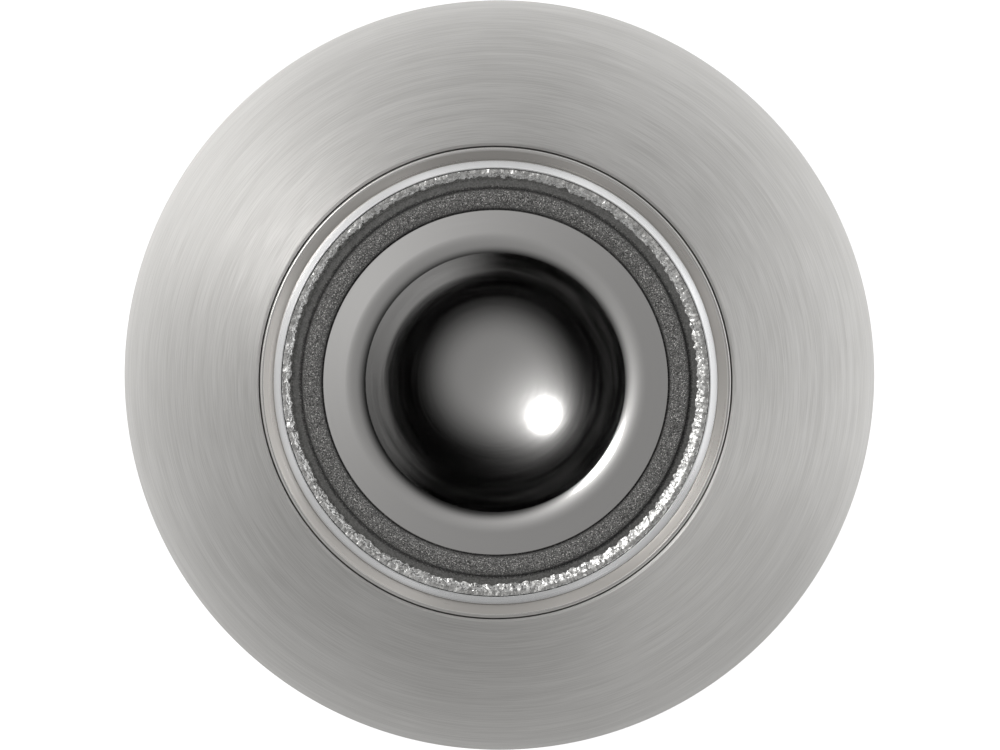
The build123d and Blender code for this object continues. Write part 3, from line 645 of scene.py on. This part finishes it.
def surround_outline():
    """The foam's section: lip, half roll and flange, top face then underside."""
    top = FLANGE_Z + FOAM_T
    under_r = ROLL_R - FOAM_T
    centre = (ROLL_CENTRE_R, top)
    roll = arc(centre, ROLL_R, 186, -4, 38)
    under = arc((ROLL_CENTRE_R, top), under_r, 0, 180, 12)
    return (
        line((LIP_INNER_R, top), (LIP_STEP_R, top), 2)
        + line((LIP_STEP_R, top), roll[0], 2)
        + roll
        + line((FLANGE_START_R, top), (FLANGE_R, top), 10)
        + [(FLANGE_R, top), (FLANGE_R, FLANGE_Z), (ROLL_CENTRE_R + under_r, FLANGE_Z)]
        + under
        + [(ROLL_CENTRE_R - under_r, FLANGE_Z), (LIP_INNER_R, FLANGE_Z)]
    )


FOAM_SEGMENTS = 960
FOAM_PLAIN_T = 0.1
FOAM_LUMP = 0.018
FOAM_LUMP_SCALE = 3.2
FOAM_LUMP_TOP = 0.4  # lumps are cut off at this share of their full height


def foam_shift(radius, height, angles):
    """Small lumps on the foam's upper face, fading out over the lower part of its thickness."""
    point = turned_points(radius, height, angles)[0]
    upper = np.clip((height - FLANGE_Z - FOAM_PLAIN_T) / (FOAM_T - FOAM_PLAIN_T), 0, 1)
    lump = grain(point, FOAM_LUMP_SCALE)
    return radius, height + np.minimum(lump, FOAM_LUMP_TOP) * FOAM_LUMP * upper


def foam_surround():
    """The surround, on no body, with its transform baked into the mesh."""
    obj = lathe("foam_surround", surround_outline(), FOAM_SEGMENTS, shift=foam_shift)
    finish_piece(obj, None, "surround_foam", "surround")
    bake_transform(obj)


foam_surround()


# ======================= dome =======================


# Points along the bowl, the crest and the annulus.
FACE_STEPS = (90, 60, 8)
BACK_STEPS = (24, 16, 2)


def dome_outline():
    """The dome's section from the axis outwards over the face, then back underneath."""
    wall, slope = radians(WALL_SLOPE), radians(SHOULDER_SLOPE)
    inner_r = SHOULDER_ARC_R - BEND_ARC_R
    bend_centre = (CREST_R - inner_r * sin(slope), CREST_Z - SHOULDER_ARC_R + inner_r * cos(slope))
    wall_top = (bend_centre[0] - BEND_ARC_R * sin(wall), bend_centre[1] + BEND_ARC_R * cos(wall))
    bend_way, bend_reach = (wall + slope) / 2, 1 / cos((wall - slope) / 2)
    wall_low_r = BOWL_ARC_R * sin(wall)
    wall_low_z = wall_top[1] - (wall_top[0] - wall_low_r) * tan(wall)
    bowl_z = wall_low_z + BOWL_ARC_R * cos(wall)
    crest_centre = (CREST_R, CREST_Z - SHOULDER_ARC_R)
    faces = []
    for depth, steps in ((0.0, FACE_STEPS), (DOME_T, BACK_STEPS)):
        bowl = arc((0, bowl_z), BOWL_ARC_R + depth, -90, -90 + WALL_SLOPE, steps[0])
        bend_r = (BEND_ARC_R - depth) * bend_reach
        corner = (bend_centre[0] - bend_r * sin(bend_way), bend_centre[1] + bend_r * cos(bend_way))
        crest_ends = 90 + SHOULDER_SLOPE, 90 - ANNULUS_SLOPE
        crest = arc(crest_centre, SHOULDER_ARC_R - depth, *crest_ends, steps[1])
        edge_z = crest[-1][1] - (DOME_R - crest[-1][0]) * tan(radians(ANNULUS_SLOPE))
        edge = (DOME_R, edge_z)
        cone = line(bowl[-1], corner, 6)[1:]
        faces.append(bowl + cone + [corner] + crest + line(crest[-1], edge, steps[2])[1:] + [edge])
    return faces[0][1:] + faces[1][:0:-1], faces[0][0], faces[1][0]


def dome_piece():
    """The dome, closed at the axis by a fan on each face."""
    outline, top_pole, under_pole = dome_outline()
    obj = lathe("metal_dome", outline, DOME_SEGMENTS, closed=False)
    vertices = [tuple(v.co) for v in obj.data.vertices]
    faces = [tuple(p.vertices) for p in obj.data.polygons]
    top, under = len(vertices), len(vertices) + 1
    vertices += [(0, 0, top_pole[1] * MM), (0, 0, under_pole[1] * MM)]
    last = (len(outline) - 1) * DOME_SEGMENTS
    for k in range(DOME_SEGMENTS):
        after = (k + 1) % DOME_SEGMENTS
        faces.append((top, after, k))
        faces.append((under, last + k, last + after))
    mesh = obj.data
    bpy.data.objects.remove(obj)
    bpy.data.meshes.remove(mesh)
    return new_object("metal_dome", vertices, faces, SHARP_CORNER)


finish_piece(dome_piece(), "diaphragm", "dome_metal", "dome")


# ======================= studio =======================

# The sky is a soft round ceiling, brighter around one key light, above a dark band and one dim
# low wall. All angles are in degrees; a zenith angle is 0 straight up and 90 at the horizon.
KEY_AZIMUTH = 148.0
KEY_ZENITH = 39.0
KEY_CORE = 7.0  # strength of the key light itself
KEY_CORE_R = 8.0
KEY_GLOW = 2.0  # strength of the glow that falls away from it
KEY_FALL = 9.0
KEY_HALO = 0.28  # what the key light adds to the ceiling around it
KEY_HALO_SPREAD = 28.0
KEY_EDGE = (48.0, 72.0)  # the key light and its glow end between these zenith angles
CEILING = 0.24
CEILING_EDGE = 39.0
CEILING_SOFT = 17.0
CEILING_SHIFT = (-3.2, -6.0)
WALL_AZIMUTH = 342.0
WALL_GLOW = 0.34
WALL_LOW = 86.0
WALL_HIGH = 78.5
SKY_TINT = (1.0, 0.99, 0.975, 1.0)
BACKGROUND_GLOW = 1.0
TO_DEGREES = 180 / pi


def direction(azimuth, zenith):
    """Unit vector at an azimuth and a zenith angle, in degrees."""
    a, z = radians(azimuth), radians(zenith)
    return Vector((sin(z) * cos(a), sin(z) * sin(a), cos(z)))


def studio_sky():
    """The world: what lights the object, and a plain pale background for the camera."""
    world = bpy.data.worlds.new("studio")
    bpy.context.scene.world = world
    world.use_nodes = True
    tree = world.node_tree
    tree.nodes.clear()
    toward = put(tree, "TexCoord").outputs["Generated"]
    axes = put(tree, "SeparateXYZ", {0: toward}).outputs
    zenith = maths(tree, "MULTIPLY", maths(tree, "ARCCOSINE", axes[2]), TO_DEGREES)
    key_way = direction(KEY_AZIMUTH, KEY_ZENITH)
    key = put(tree, "VectorMath", {0: toward, 1: key_way}, operation="DOT_PRODUCT").outputs["Value"]
    from_key = maths(tree, "MULTIPLY", maths(tree, "ARCCOSINE", key), TO_DEGREES)
    fall = maths(tree, "EXPONENT", maths(tree, "DIVIDE", from_key, -KEY_FALL))
    glow = maths(tree, "MULTIPLY", fall, KEY_GLOW)
    core = remap(tree, from_key, KEY_CORE_R * 0.5, KEY_CORE_R * 1.5, KEY_CORE, 0.0)
    above_edge = remap(tree, zenith, *KEY_EDGE, 1.0, 0.0)
    key_light = maths(tree, "MULTIPLY", maths(tree, "ADD", glow, core), above_edge)

    flat = put(tree, "CombineXYZ", {0: axes[0], 1: axes[1]}).outputs[0]
    level = put(tree, "VectorMath", {0: flat}, operation="NORMALIZE").outputs[0]
    shift = put(tree, "VectorMath", {0: level, 1: (*CEILING_SHIFT, 0)}, operation="DOT_PRODUCT")
    shifted = maths(tree, "SUBTRACT", zenith, shift.outputs["Value"])
    off_edge = maths(tree, "SUBTRACT", shifted, CEILING_EDGE)
    inside = remap(tree, off_edge, -CEILING_SOFT, CEILING_SOFT, 1.0, 0.0)
    spread = maths(tree, "DIVIDE", from_key, KEY_HALO_SPREAD)
    spread = maths(tree, "MULTIPLY", spread, spread)
    halo = maths(tree, "EXPONENT", maths(tree, "MULTIPLY", spread, -1.0))
    ceiling = maths(tree, "MULTIPLY", inside, maths(tree, "MULTIPLY_ADD", halo, KEY_HALO, CEILING))

    wall_way = direction(WALL_AZIMUTH, 90)
    facing = put(tree, "VectorMath", {0: level, 1: wall_way}, operation="DOT_PRODUCT")
    wall = remap(tree, facing.outputs["Value"], 0.2, 0.8, 0.0, WALL_GLOW)
    under_top = remap(tree, zenith, WALL_HIGH - 2, WALL_HIGH + 1, 0.0, 1.0)
    over_foot = remap(tree, zenith, WALL_LOW, WALL_LOW + 3, 1.0, 0.0)
    wall = maths(tree, "MULTIPLY", maths(tree, "MULTIPLY", wall, under_top), over_foot)

    sky = maths(tree, "ADD", maths(tree, "ADD", ceiling, key_light), wall)
    lit = put(tree, "Background", {"Color": SKY_TINT, "Strength": sky}).outputs[0]
    plain_inputs = {"Color": (1.0, 1.0, 1.0, 1.0), "Strength": BACKGROUND_GLOW}
    plain = put(tree, "Background", plain_inputs).outputs[0]
    seen = put(tree, "LightPath").outputs["Is Camera Ray"]
    mixed = put(tree, "MixShader", {0: seen, 1: lit, 2: plain}).outputs[0]
    output = tree.nodes.new("ShaderNodeOutputWorld")
    tree.links.new(mixed, output.inputs["Surface"])


studio_sky()

# Soft cards stand all round and light every piece but the dome, which reflects the sky alone.
# CARD_GLOW is each card's brightness at its azimuth.
CARD_DISTANCE = 0.6
CARD_ZENITH = 72.0
CARD_SIZE = 0.5
CARD_GLOW = {0: 1.1, 45: 0.95, 90: 0.7, 135: 0.55, 180: 0.58, 225: 0.5, 270: 0.38, 315: 0.55}


def studio_cards():
    """Eight square soft lights round the object."""
    spared = bpy.data.collections.new("unlit_by_cards")
    spared.objects.link(bpy.data.objects["metal_dome"])
    spared.collection_objects[0].light_linking.link_state = "EXCLUDE"
    for azimuth, glow in CARD_GLOW.items():
        data = bpy.data.lights.new(f"card_{azimuth}", "AREA")
        data.size = CARD_SIZE
        data.energy = glow * pi * CARD_SIZE**2
        card = bpy.data.objects.new(data.name, data)
        way = direction(azimuth, CARD_ZENITH)
        turned = way.to_track_quat("Z", "Y").to_matrix().to_4x4()
        card.matrix_world = Matrix.Translation(way * CARD_DISTANCE) @ turned
        card.light_linking.receiver_collection = spared
        bpy.context.scene.collection.objects.link(card)


studio_cards()

FLOOR_SIZE = 6.0
FLOOR_GREY = (0.35, 0.35, 0.35, 1.0)
FLOOR_GLOW = 0.95  # as the camera sees it
FLOOR_REFLECTED = 0.62  # as the pod mirrors it
FLOOR_SHADE = 0.30  # as the pod mirrors it at the front
FLOOR_FRONT_AZIMUTH = 275.0


def pale_floor():
    """A plain pale floor; what the pod mirrors of it is dimmer, most of all towards the front."""
    half = FLOOR_SIZE / 2
    corners = [(-half, -half, 0), (half, -half, 0), (half, half, 0), (-half, half, 0)]
    floor = new_object("floor", corners, [(0, 1, 2, 3)])
    values = {"Base Color": FLOOR_GREY, "Roughness": 0.9, "Specular IOR Level": 0.0}
    values["Emission Color"] = (1.0, 1.0, 1.0, 1.0)
    material, tree, shader = start_material("floor", values)
    way = put(tree, "VectorMath", {0: object_mm(tree)}, operation="NORMALIZE").outputs[0]
    front_way = direction(FLOOR_FRONT_AZIMUTH, 90)
    front = put(tree, "VectorMath", {0: way, 1: front_way}, operation="DOT_PRODUCT").outputs["Value"]
    mirrored = remap(tree, front, 0.2, 0.95, FLOOR_REFLECTED, FLOOR_SHADE)
    seen = put(tree, "LightPath").outputs["Is Camera Ray"]
    glow = remap(tree, seen, 0.0, 1.0, mirrored, FLOOR_GLOW, smooth=False)
    tree.links.new(glow, shader.inputs["Emission Strength"])
    floor.data.materials.append(material)


pale_floor()

CAMERA_DISTANCE = 0.332
CAMERA_LENS = 165.8
CAMERA_SENSOR = 36.0
CAMERA_TILT = 2.45  # off straight above, in degrees
CAMERA_AZIMUTH = 63.0
CAMERA_AIM = (0.00007, 0.00005, 0.0045)
CAMERA_CLIP = (0.01, 20.0)


def studio_camera():
    """The camera, almost straight above the dome, with +Y up in the picture."""
    data = bpy.data.cameras.new("camera")
    data.lens = CAMERA_LENS
    data.sensor_width = CAMERA_SENSOR
    data.clip_start, data.clip_end = CAMERA_CLIP
    camera = bpy.data.objects.new("camera", data)
    back = direction(CAMERA_AZIMUTH, CAMERA_TILT)
    right = Vector((0, 1, 0)).cross(back).normalized()
    up = back.cross(right)
    place = Vector(CAMERA_AIM) + back * CAMERA_DISTANCE
    turned = Matrix((right, up, back)).transposed().to_4x4()
    camera.matrix_world = Matrix.Translation(place) @ turned
    bpy.context.scene.collection.objects.link(camera)
    bpy.context.scene.camera = camera


studio_camera()

bpy.context.scene.view_settings.view_transform = "Standard"
